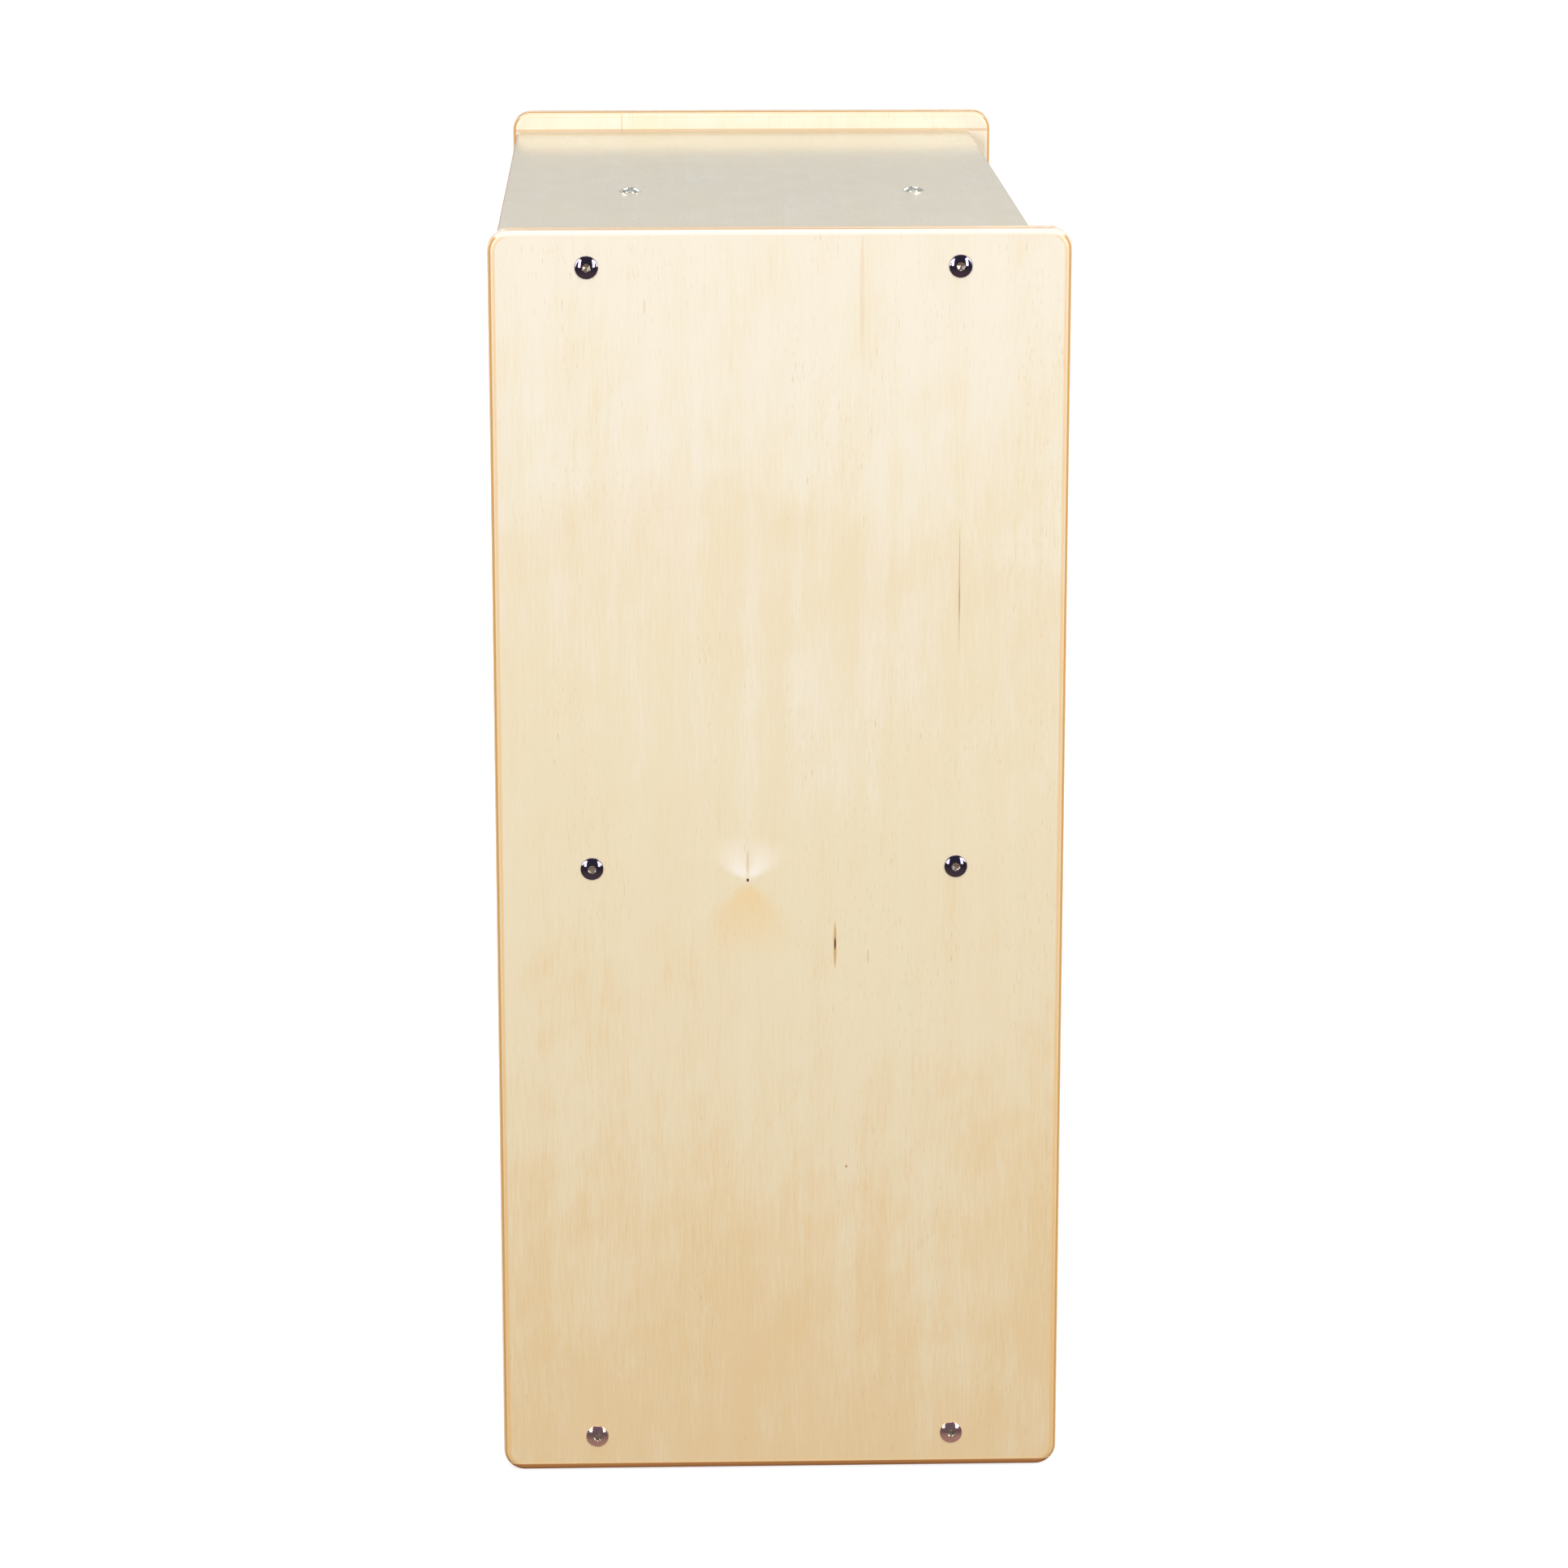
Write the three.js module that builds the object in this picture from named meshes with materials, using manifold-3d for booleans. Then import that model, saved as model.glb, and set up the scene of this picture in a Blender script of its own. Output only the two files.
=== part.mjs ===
// An open plywood storage shelf unit: two tall side panels, three full-width boards, an upright
// partition above and below the middle shelf, and a thin back panel held in grooves.
// Button-head connector bolts pass through the panels into barrel nuts in the board ends.
//
// Millimetres. +X runs along the length, -Y is the open front, +Z is up.
// The origin is on the floor, under the middle of the unit.

import * as THREE from "three";
import { mergeVertices } from "three/addons/utils/BufferGeometryUtils.js";
import Module from "manifold-3d";

// Overall size, over the outer faces of the side panels
const LENGTH = 800;
const DEPTH = 400;
const HEIGHT = 900;

// Boards
const PLY = 18;
const GAP = 0.3; // clearance left between pieces that touch
const CORNER_RADIUS = 15; // side panel outline
const SIDE_ROUNDING = 5; // rounding along the edges of a side panel
const BOARD_ROUNDING = 3; // rounding along the front and rear edges of the other boards
const TOP_RECESS = 17; // the boards stop this far below the top and above the floor
const FRONT_RECESS = 17; // the boards stop this far behind the front of the side panels
const REAR_RECESS = 3; // the top and bottom boards stop this far from the rear

// Back panel, held in a groove all round
const BACK_THICKNESS = 5.2;
const GROOVE_WIDTH = 6;
const GROOVE_DEPTH = 7;
const GROOVE_INSET = 20; // from the rear of the side panels to the groove
const BACK_TONGUE = 6.5; // how far the back panel reaches into the groove

// Partition, off the middle so that one pair of bays is wider than the other
const PARTITION_X = -37;

// Connector bolts and barrel nuts
const BOLT_SPACING = 256; // front to rear, in a side panel
const BOLT_CENTRE_Y = 4.5;
const PARTITION_BOLT_SPACING = 214; // front to rear, over the partition
const PARTITION_BOLT_CENTRE_Y = -4.5;
const HEAD_RADIUS = 8;
const HEAD_RIM = 0.9;
const HEAD_HEIGHT = 2.7;
const SHANK_RADIUS = 3;
const SHANK_LENGTH = 46;
const SOCKET_ACROSS_FLATS = 5;
const SOCKET_DEPTH = 1.9;
const BOLT_HOLE_RADIUS = 3.3;
const BOLT_TURN = 37; // degrees from one bolt's socket to the next one's
const NUT_RADIUS = 5;
const NUT_LENGTH = 14;
const NUT_HOLE_RADIUS = 5.3;
const NUT_SETBACK = 24; // from a board's end to the nut's axis
const NUT_SLOT_WIDTH = 1.6;
const NUT_SLOT_DEPTH = 1.2;
const BLIND_HOLE_CLEARANCE = 2; // a blind hole goes this much deeper than what it holds

// Wooden dowels
const DOWEL_RADIUS = 4;
const DOWEL_HOLE_RADIUS = 4.3;
const DOWEL_CHAMFER = 0.8;
const END_DOWEL_LENGTH = 30;
const END_DOWEL_IN_PANEL = 11;
const SHELF_DOWEL_LENGTH = 58;

const ROUND_SIDES = 12; // flats that stand for a round hole, shank or nut
const HEAD_SIDES = 16;
const CORNER_STEPS = 5;
const ROUNDING_STEPS = 2;

// Places worked out from the sizes above
const INNER_X = LENGTH / 2 - PLY;
const BOARD_END_X = INNER_X - GAP;
const FRONT_Y = FRONT_RECESS - DEPTH / 2;
const REAR_Y = DEPTH / 2 - REAR_RECESS;
const GROOVE_REAR_Y = DEPTH / 2 - GROOVE_INSET;
const GROOVE_FRONT_Y = GROOVE_REAR_Y - GROOVE_WIDTH;
const BACK_Y = (GROOVE_REAR_Y + GROOVE_FRONT_Y) / 2;
const BAY_REAR_Y = BACK_Y - BACK_THICKNESS / 2 - GAP;
const BOTTOM_Z = TOP_RECESS + PLY / 2;
const MIDDLE_Z = HEIGHT / 2;
const TOP_Z = HEIGHT - TOP_RECESS - PLY / 2;

const SIDES = [["left", -1], ["right", 1]];
const ROWS = [["bottom", BOTTOM_Z], ["middle", MIDDLE_Z], ["top", TOP_Z]];
const SIDE_COLUMNS = [
  ["front", BOLT_CENTRE_Y - BOLT_SPACING / 2],
  ["rear", BOLT_CENTRE_Y + BOLT_SPACING / 2],
];
const PARTITION_COLUMNS = [
  ["front", PARTITION_BOLT_CENTRE_Y - PARTITION_BOLT_SPACING / 2],
  ["rear", PARTITION_BOLT_CENTRE_Y + PARTITION_BOLT_SPACING / 2],
];

const X = new THREE.Vector3(1, 0, 0);
const Y = new THREE.Vector3(0, 1, 0);
const Z = new THREE.Vector3(0, 0, 1);

const birch = new THREE.MeshStandardMaterial({ color: 0xf0dfbe, roughness: 0.45, metalness: 0 });
const backPly = new THREE.MeshStandardMaterial({ color: 0xebd9b6, roughness: 0.6, metalness: 0 });
const nickel = new THREE.MeshStandardMaterial({ color: 0xc9c6c0, roughness: 0.15, metalness: 1 });
const zinc = new THREE.MeshStandardMaterial({ color: 0xa9aaa8, roughness: 0.4, metalness: 1 });
const beech = new THREE.MeshStandardMaterial({ color: 0xd9b98a, roughness: 0.7, metalness: 0 });

const wasm = await Module();
wasm.setup();

// ---- solids ----

function toSolid(geometry) {
  const bare = new THREE.BufferGeometry();
  const loose = geometry.index ? geometry.toNonIndexed() : geometry;
  bare.setAttribute("position", loose.getAttribute("position"));
  const merged = mergeVertices(bare, 1e-4);
  return new wasm.Manifold(
    new wasm.Mesh({
      numProp: 3,
      vertProperties: merged.attributes.position.array,
      triVerts: new Uint32Array(merged.index.array),
    }),
  );
}

function toGeometry(solid) {
  const mesh = solid.getMesh();
  const shared = new THREE.BufferGeometry();
  shared.setAttribute("position", new THREE.BufferAttribute(mesh.vertProperties, mesh.numProp));
  shared.setIndex(new THREE.BufferAttribute(mesh.triVerts, 1));
  const faceted = shared.toNonIndexed();
  faceted.computeVertexNormals();
  return faceted;
}

function cut(geometry, cutters) {
  let solid = toSolid(geometry);
  for (const cutter of cutters) solid = solid.subtract(toSolid(cutter));
  return toGeometry(solid);
}

// A box between two opposite corners.
function block([x0, y0, z0], [x1, y1, z1]) {
  const box = new THREE.BoxGeometry(x1 - x0, y1 - y0, z1 - z0);
  return box.translate((x0 + x1) / 2, (y0 + y1) / 2, (z0 + z1) / 2);
}

// A straight round bar from one point to another.
function bar(radius, from, to) {
  const start = new THREE.Vector3(...from);
  const along = new THREE.Vector3(...to).sub(start);
  const length = along.length();
  const cylinder = new THREE.CylinderGeometry(radius, radius, length, ROUND_SIDES);
  cylinder.applyQuaternion(new THREE.Quaternion().setFromUnitVectors(Y, along.normalize()));
  return cylinder.translate(...start.addScaledVector(along, length / 2));
}

// ---- outlines ----

// A rectangle with each corner rounded by its own radius, anticlockwise from the lower left.
function roundedRectangle(x0, y0, x1, y1, [r0, r1, r2, r3]) {
  const shape = new THREE.Shape();
  shape.moveTo(x0 + r0, y0);
  shape.lineTo(x1 - r1, y0);
  if (r1) shape.absarc(x1 - r1, y0 + r1, r1, -Math.PI / 2, 0);
  shape.lineTo(x1, y1 - r2);
  if (r2) shape.absarc(x1 - r2, y1 - r2, r2, 0, Math.PI / 2);
  shape.lineTo(x0 + r3, y1);
  if (r3) shape.absarc(x0 + r3, y1 - r3, r3, Math.PI / 2, Math.PI);
  shape.lineTo(x0, y0 + r0);
  if (r0) shape.absarc(x0 + r0, y0 + r0, r0, Math.PI, 1.5 * Math.PI);
  return shape;
}

// Turns an extrusion so that its outline lies in the Y-Z plane and its length along X.
function alongX(geometry) {
  return geometry.applyMatrix4(new THREE.Matrix4().makeBasis(Y, Z, X));
}

// ---- boards ----

// The side panel: a rounded outline with rounded edges, holes for bolts and dowels, and a stopped
// groove for the back panel on its inner face. side is -1 for the left panel and 1 for the right.
function sidePanel(side) {
  const inset = SIDE_ROUNDING;
  const outline = roundedRectangle(
    -DEPTH / 2 + inset,
    inset,
    DEPTH / 2 - inset,
    HEIGHT - inset,
    Array(4).fill(CORNER_RADIUS - inset),
  );
  const panel = new THREE.ExtrudeGeometry(outline, {
    depth: PLY - 2 * SIDE_ROUNDING,
    curveSegments: CORNER_STEPS,
    bevelSize: SIDE_ROUNDING,
    bevelThickness: SIDE_ROUNDING,
    bevelSegments: ROUNDING_STEPS,
  });
  alongX(panel).translate(side * (LENGTH / 2 - PLY / 2) - PLY / 2 + SIDE_ROUNDING, 0, 0);

  const inner = side * INNER_X;
  const outer = side * (LENGTH / 2 + 1);
  const cutters = [];
  for (const [, z] of ROWS) {
    for (const [, y] of SIDE_COLUMNS) {
      cutters.push(bar(BOLT_HOLE_RADIUS, [inner - side, y, z], [outer, y, z]));
    }
    const bottom = side * (INNER_X + END_DOWEL_IN_PANEL + BLIND_HOLE_CLEARANCE / 2);
    cutters.push(bar(DOWEL_HOLE_RADIUS, [inner - side, BOLT_CENTRE_Y, z], [bottom, BOLT_CENTRE_Y, z]));
  }
  const grooveX = [inner - side, inner + side * GROOVE_DEPTH].sort((a, b) => a - b);
  cutters.push(
    block([grooveX[0], GROOVE_FRONT_Y, BOTTOM_Z], [grooveX[1], GROOVE_REAR_Y, TOP_Z]),
  );
  return cut(panel, cutters);
}

// The holes in both ends of a board: two for bolts, one for a dowel, and a cross hole from the
// underside for each barrel nut.
function endHoles(z) {
  const cutters = [];
  for (const [, side] of SIDES) {
    const end = side * (BOARD_END_X + 1);
    const boltEnd = side * (LENGTH / 2 - SHANK_LENGTH - BLIND_HOLE_CLEARANCE);
    const dowelEnd =
      side * (INNER_X + END_DOWEL_IN_PANEL - END_DOWEL_LENGTH - BLIND_HOLE_CLEARANCE / 2);
    cutters.push(bar(DOWEL_HOLE_RADIUS, [end, BOLT_CENTRE_Y, z], [dowelEnd, BOLT_CENTRE_Y, z]));
    for (const [, y] of SIDE_COLUMNS) {
      const nutX = side * (INNER_X - NUT_SETBACK);
      const nutTop = z + NUT_LENGTH / 2 + GAP;
      cutters.push(bar(BOLT_HOLE_RADIUS, [end, y, z], [boltEnd, y, z]));
      cutters.push(bar(NUT_HOLE_RADIUS, [nutX, y, z - PLY], [nutX, y, nutTop]));
    }
  }
  return cutters;
}

// A full-width board at height z, from the front line to rearY, with rounded front and rear edges.
function crossBoard(z, rearY, rearRounding) {
  const front = BOARD_ROUNDING;
  const outline = roundedRectangle(FRONT_Y, z - PLY / 2, rearY, z + PLY / 2, [
    front,
    rearRounding,
    rearRounding,
    front,
  ]);
  const board = new THREE.ExtrudeGeometry(outline, {
    depth: 2 * BOARD_END_X,
    curveSegments: ROUNDING_STEPS,
    bevelEnabled: false,
  });
  return alongX(board).translate(-BOARD_END_X, 0, 0);
}

// Vertical holes through a cross board, over or under the partition.
function partitionHoles(radius, z) {
  return PARTITION_COLUMNS.map(([, y]) =>
    bar(radius, [PARTITION_X, y, z - PLY], [PARTITION_X, y, z + PLY]),
  );
}

// The top or bottom board, grooved on the face towards the bays. inwards is -1 for the top board,
// whose groove is on its underside, and 1 for the bottom board.
function outerBoard(z, inwards) {
  const face = z + (inwards * PLY) / 2;
  const grooveZ = [face + inwards, face - inwards * GROOVE_DEPTH].sort((a, b) => a - b);
  const groove = block(
    [-BOARD_END_X - 1, GROOVE_FRONT_Y, grooveZ[0]],
    [BOARD_END_X + 1, GROOVE_REAR_Y, grooveZ[1]],
  );
  return cut(crossBoard(z, REAR_Y, BOARD_ROUNDING), [
    ...endHoles(z),
    ...partitionHoles(BOLT_HOLE_RADIUS, z),
    groove,
  ]);
}

function middleShelf() {
  return cut(crossBoard(MIDDLE_Z, BAY_REAR_Y, 0), [
    ...endHoles(MIDDLE_Z),
    ...partitionHoles(DOWEL_HOLE_RADIUS, MIDDLE_Z),
  ]);
}

// A partition between the middle shelf and an outer board. upwards is 1 for the upper partition,
// whose bolts come down through the top board, and -1 for the lower one.
function partition(upwards) {
  const outerZ = (upwards > 0 ? TOP_Z : BOTTOM_Z) - upwards * (PLY / 2 + GAP);
  const shelfZ = MIDDLE_Z + upwards * (PLY / 2 + GAP);
  const [low, high] = [outerZ, shelfZ].sort((a, b) => a - b);
  const outline = roundedRectangle(
    PARTITION_X - PLY / 2,
    FRONT_Y,
    PARTITION_X + PLY / 2,
    BAY_REAR_Y,
    [BOARD_ROUNDING, BOARD_ROUNDING, 0, 0],
  );
  const board = new THREE.ExtrudeGeometry(outline, {
    depth: high - low,
    curveSegments: ROUNDING_STEPS,
    bevelEnabled: false,
  }).translate(0, 0, low);

  const boardFace = (upwards > 0 ? TOP_Z : BOTTOM_Z) + (upwards * PLY) / 2;
  const boltEnd = boardFace - upwards * (SHANK_LENGTH + BLIND_HOLE_CLEARANCE);
  const nutZ = partitionNutZ(upwards);
  const dowelEnd = MIDDLE_Z + upwards * (SHELF_DOWEL_LENGTH / 2 + BLIND_HOLE_CLEARANCE / 2);
  const nutBottom = PARTITION_X - NUT_LENGTH / 2 - GAP;
  const cutters = [];
  for (const [, y] of PARTITION_COLUMNS) {
    cutters.push(bar(BOLT_HOLE_RADIUS, [PARTITION_X, y, outerZ + upwards], [PARTITION_X, y, boltEnd]));
    cutters.push(bar(NUT_HOLE_RADIUS, [PARTITION_X + PLY, y, nutZ], [nutBottom, y, nutZ]));
    cutters.push(bar(DOWEL_HOLE_RADIUS, [PARTITION_X, y, shelfZ - upwards], [PARTITION_X, y, dowelEnd]));
  }
  return cut(board, cutters);
}

// The height of the barrel nuts in a partition.
function partitionNutZ(upwards) {
  const innerFace = (upwards > 0 ? TOP_Z : BOTTOM_Z) - (upwards * PLY) / 2;
  return innerFace - upwards * NUT_SETBACK;
}

function backPanel() {
  const x = INNER_X + BACK_TONGUE;
  const low = BOTTOM_Z + PLY / 2 - BACK_TONGUE;
  const high = TOP_Z - PLY / 2 + BACK_TONGUE;
  return block([-x, BACK_Y - BACK_THICKNESS / 2, low], [x, BACK_Y + BACK_THICKNESS / 2, high]);
}

// ---- fasteners ----

// The connector bolt: a low domed head with a hex socket on a plain shank. The underside of the
// head is at the origin and the head points along +Y.
function connectorBolt() {
  const domeRise = HEAD_HEIGHT - HEAD_RIM;
  const domeRadius = (HEAD_RADIUS ** 2 + domeRise ** 2) / (2 * domeRise);
  const dome = [0.75, 0.45].map((share) => {
    const r = share * HEAD_RADIUS;
    const drop = domeRadius - Math.sqrt(domeRadius ** 2 - r ** 2);
    return new THREE.Vector2(r, HEAD_HEIGHT - drop);
  });
  const profile = [
    new THREE.Vector2(0, -SHANK_LENGTH),
    new THREE.Vector2(SHANK_RADIUS - 1, -SHANK_LENGTH),
    new THREE.Vector2(SHANK_RADIUS, 1 - SHANK_LENGTH),
    new THREE.Vector2(SHANK_RADIUS, 0),
    new THREE.Vector2(HEAD_RADIUS, 0),
    new THREE.Vector2(HEAD_RADIUS, HEAD_RIM),
    ...dome,
    new THREE.Vector2(0, HEAD_HEIGHT),
  ];
  const socketRadius = SOCKET_ACROSS_FLATS / 2 / Math.cos(Math.PI / 6);
  const socket = new THREE.CylinderGeometry(socketRadius, socketRadius, 2 * SOCKET_DEPTH, 6);
  socket.translate(0, HEAD_HEIGHT, 0);
  return cut(new THREE.LatheGeometry(profile, HEAD_SIDES), [socket]);
}

// The barrel nut: a short bar with a cross hole along X and a driver slot in its +Y end.
function barrelNut() {
  const half = NUT_LENGTH / 2;
  const body = bar(NUT_RADIUS, [0, -half, 0], [0, half, 0]);
  const crossHole = bar(BOLT_HOLE_RADIUS, [-NUT_RADIUS - 1, 0, 0], [NUT_RADIUS + 1, 0, 0]);
  const slot = block(
    [-NUT_SLOT_WIDTH / 2, half - NUT_SLOT_DEPTH, -NUT_RADIUS - 1],
    [NUT_SLOT_WIDTH / 2, half + 1, NUT_RADIUS + 1],
  );
  return cut(body, [crossHole, slot]);
}

// A dowel along Y with chamfered ends, centred on the origin.
function dowel(length) {
  const half = length / 2;
  const tip = DOWEL_RADIUS - DOWEL_CHAMFER;
  const profile = [
    [0, -half],
    [tip, -half],
    [DOWEL_RADIUS, DOWEL_CHAMFER - half],
    [DOWEL_RADIUS, half - DOWEL_CHAMFER],
    [tip, half],
    [0, half],
  ].map(([r, y]) => new THREE.Vector2(r, y));
  return new THREE.LatheGeometry(profile, ROUND_SIDES);
}

// ---- assembly ----

const unit = new THREE.Group();
const boards = new THREE.Group();
const fasteners = new THREE.Group();
const dowels = new THREE.Group();
unit.add(boards, fasteners, dowels);

function place(group, name, geometry, material) {
  const mesh = new THREE.Mesh(geometry, material);
  mesh.name = name;
  group.add(mesh);
  return mesh;
}

place(boards, "left_side_panel", sidePanel(-1), birch);
place(boards, "right_side_panel", sidePanel(1), birch);
place(boards, "top_board", outerBoard(TOP_Z, -1), birch);
place(boards, "bottom_board", outerBoard(BOTTOM_Z, 1), birch);
place(boards, "middle_shelf", middleShelf(), birch);
place(boards, "upper_partition", partition(1), birch);
place(boards, "lower_partition", partition(-1), birch);
place(boards, "back_panel", backPanel(), backPly);

const boltGeometry = connectorBolt();
const nutGeometry = barrelNut();
const endDowelGeometry = dowel(END_DOWEL_LENGTH);
const shelfDowelGeometry = dowel(SHELF_DOWEL_LENGTH);
let boltCount = 0;

// A bolt whose head lies on a face at the point, and the nut that it screws into. outwards is the
// way the head points, and mouth the way the nut's cross hole opens.
function boltAndNut(name, point, outwards, mouth, nutDistance) {
  const bolt = place(fasteners, name + "_bolt", boltGeometry, nickel);
  bolt.position.copy(point).addScaledVector(outwards, GAP);
  bolt.quaternion.setFromUnitVectors(Y, outwards);
  bolt.rotateY(THREE.MathUtils.degToRad(boltCount * BOLT_TURN));
  boltCount += 1;

  const nut = place(fasteners, name + "_nut", nutGeometry, zinc);
  const third = new THREE.Vector3().crossVectors(outwards, mouth);
  nut.quaternion.setFromRotationMatrix(new THREE.Matrix4().makeBasis(outwards, mouth, third));
  nut.position.copy(point).addScaledVector(outwards, -nutDistance);
}

const DOWN = Z.clone().negate();

for (const [sideName, side] of SIDES) {
  const outwards = X.clone().multiplyScalar(side);
  for (const [rowName, z] of ROWS) {
    for (const [columnName, y] of SIDE_COLUMNS) {
      const point = new THREE.Vector3((side * LENGTH) / 2, y, z);
      boltAndNut(`${sideName}_${rowName}_${columnName}`, point, outwards, DOWN, PLY + NUT_SETBACK);
    }
    const pin = place(dowels, `${sideName}_${rowName}_dowel`, endDowelGeometry, beech);
    pin.quaternion.setFromUnitVectors(Y, X);
    pin.position.set(
      side * (INNER_X + END_DOWEL_IN_PANEL - END_DOWEL_LENGTH / 2),
      BOLT_CENTRE_Y,
      z,
    );
  }
}

for (const [levelName, upwards] of [["upper", 1], ["lower", -1]]) {
  const outwards = Z.clone().multiplyScalar(upwards);
  const face = (upwards > 0 ? TOP_Z : BOTTOM_Z) + (upwards * PLY) / 2;
  for (const [columnName, y] of PARTITION_COLUMNS) {
    const point = new THREE.Vector3(PARTITION_X, y, face);
    const nutDistance = Math.abs(face - partitionNutZ(upwards));
    boltAndNut(`${levelName}_partition_${columnName}`, point, outwards, X, nutDistance);
  }
}

for (const [columnName, y] of PARTITION_COLUMNS) {
  const pin = place(dowels, `shelf_${columnName}_dowel`, shelfDowelGeometry, beech);
  pin.quaternion.setFromUnitVectors(Y, Z);
  pin.position.set(PARTITION_X, y, MIDDLE_Z);
}

export default unit;
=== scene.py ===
"""An open shelf unit of birch plywood: two side panels, three boards, an upright partition above and
below the middle shelf, and a thin back panel, held by button-head connector bolts and barrel nuts.

Sizes are in millimetres until a mesh is made. +X runs along the length, -Y is the open front, +Z is up.
"""

import math

import bpy
import numpy as np
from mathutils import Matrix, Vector


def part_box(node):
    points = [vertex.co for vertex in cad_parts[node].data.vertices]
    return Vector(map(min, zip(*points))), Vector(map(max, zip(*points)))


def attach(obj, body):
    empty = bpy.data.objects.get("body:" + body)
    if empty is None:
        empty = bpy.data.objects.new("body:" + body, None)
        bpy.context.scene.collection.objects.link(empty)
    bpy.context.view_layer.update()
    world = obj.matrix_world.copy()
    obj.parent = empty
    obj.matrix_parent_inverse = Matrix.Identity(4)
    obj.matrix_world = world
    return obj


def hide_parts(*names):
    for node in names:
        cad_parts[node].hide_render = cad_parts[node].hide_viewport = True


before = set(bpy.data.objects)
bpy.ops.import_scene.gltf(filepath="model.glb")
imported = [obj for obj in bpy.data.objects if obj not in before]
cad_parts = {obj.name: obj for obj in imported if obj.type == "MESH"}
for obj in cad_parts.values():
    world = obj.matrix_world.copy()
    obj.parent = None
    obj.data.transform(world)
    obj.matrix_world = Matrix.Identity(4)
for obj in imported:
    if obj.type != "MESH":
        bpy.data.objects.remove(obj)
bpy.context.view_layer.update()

MM = 0.001
BODY = "root"
X, Y, Z = range(3)

# Boards
CORNER_RADIUS = 15  # outline of a side panel
SIDE_ROUNDING = 5  # along the edges of a side panel
BOARD_ROUNDING = 3  # along the front and rear edges of the other boards
BUTTED_CORNER = 1  # corners that lie against the back panel
ARRIS = 0.3  # the broken edge round a sawn end
SHOULDER = 0.3  # flat strip kept beside a rounding, so that the face beside it shades flat
GROOVE_WIDTH = 6
GROOVE_DEPTH = 7
OVERRUN = 1  # how far a cutter stands out of what it cuts

# Connector bolts, barrel nuts and dowels
HEAD_RADIUS = 8
HEAD_HEIGHT = 2.7
HEAD_RIM = 0.9
RIM_ROUNDING = 0.6
DOME_DROP = 0.5  # how far the dome runs below the top of the rim before it is rounded off
HEAD_ARRIS = 0.08
SHANK_RADIUS = 3
SHANK_TIP = 1
SOCKET_FLAT = 2.5  # from the socket's axis to a flat
SOCKET_DEPTH = 1.9
SOCKET_CHAMFER = 0.1
CHAMFER_DEPTH = 0.5
SOCKET_FLOOR = (0.8, 0.1)  # share of the flat, and how far below the walls' foot
DRILL_POINT = (0.2, 0.9)  # radius of the drilled point's tip, and how far below the walls' foot
BOLT_TURN = 37  # degrees from one bolt's socket to the next one's
BOLT_HOLE_RADIUS = 3.3
NUT_HOLE_RADIUS = 5.3
DOWEL_HOLE_RADIUS = 4.3
BLIND_HOLE_CLEARANCE = 2
NUT_CHAMFER = 0.5
NUT_SLOT_WIDTH = 1.6
NUT_SLOT_DEPTH = 1.2

ROUND_SIDES = 48
SOCKET_RINGS = 4  # the last rings of a bolt, which take the socket's duller finish
DOME_STEPS = 12
RIM_STEPS = 4
CORNER_STEPS = 12
ROUNDING_STEPS = 8
SHARP_ANGLE = math.radians(32)

# A sheet, its plies between two face veneers
SHEET = 18
PLIES = 11
FACE_VENEER = 0.8
PLY = (SHEET - 2 * FACE_VENEER) / PLIES

SIDES = {"left": -1, "right": 1}
ROWS = ("bottom", "middle", "top")
COLUMNS = ("front", "rear")


# ---- shapes ----


def box_of(node):
    """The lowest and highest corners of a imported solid, in millimetres."""
    low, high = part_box(node)
    return np.array(low) / MM, np.array(high) / MM


def rounded_rectangle(low, high, radii, inset=0):
    """Points round a rectangle, anticlockwise from the lower left corner. A corner is a quarter
    circle about a centre set in by its radius; a point stands beside each end of it on the straight.
    The inset draws the whole outline in, each corner's circle with it."""
    low, high = np.asarray(low, float), np.asarray(high, float)
    radii = np.asarray(radii, float)
    corners = np.array([low, [high[0], low[1]], high, [low[0], high[1]]])
    inward = np.array([[1, 1], [-1, 1], [-1, -1], [1, -1]])
    centres = corners + inward * radii[:, None]
    starts = np.pi + np.arange(4) * np.pi / 2
    angles = starts[:, None] + np.linspace(0, np.pi / 2, CORNER_STEPS + 1)
    spokes = np.stack([np.cos(angles), np.sin(angles)], -1)
    tangents = np.stack([-np.sin(angles), np.cos(angles)], -1)
    arcs = centres[:, None] + (radii - inset)[:, None, None] * spokes
    before = arcs[:, :1] - SHOULDER * tangents[:, :1]
    after = arcs[:, -1:] + SHOULDER * tangents[:, -1:]
    return np.concatenate([before, arcs, after], 1).reshape(-1, 2)


def edge_rows(start, end, rounding):
    """Insets and places of the rows of a plate from one face to the other. Each edge is a quarter
    circle: the inset is the rounding times (1 - sine), the depth is the rounding times (1 - cosine)."""
    turn = np.linspace(0, np.pi / 2, ROUNDING_STEPS + 1)
    inset = rounding * (1 - np.sin(turn))
    depth = rounding * (1 - np.cos(turn))
    inset = np.concatenate([[rounding + SHOULDER], inset, [0]])
    depth = np.concatenate([[0], depth, [rounding + SHOULDER]])
    return np.concatenate([inset, inset[::-1]]), np.concatenate([start + depth, (end - depth)[::-1]])


def stack(axis, rings, places):
    """Flat rings, in the two axes after the given one, each moved to its place along that axis."""
    rings = np.asarray(rings, float)
    points = np.empty((*rings.shape[:2], 3))
    points[..., (axis + 1) % 3] = rings[..., 0]
    points[..., (axis + 2) % 3] = rings[..., 1]
    points[..., axis] = np.asarray(places, float)[:, None]
    return points


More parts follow.
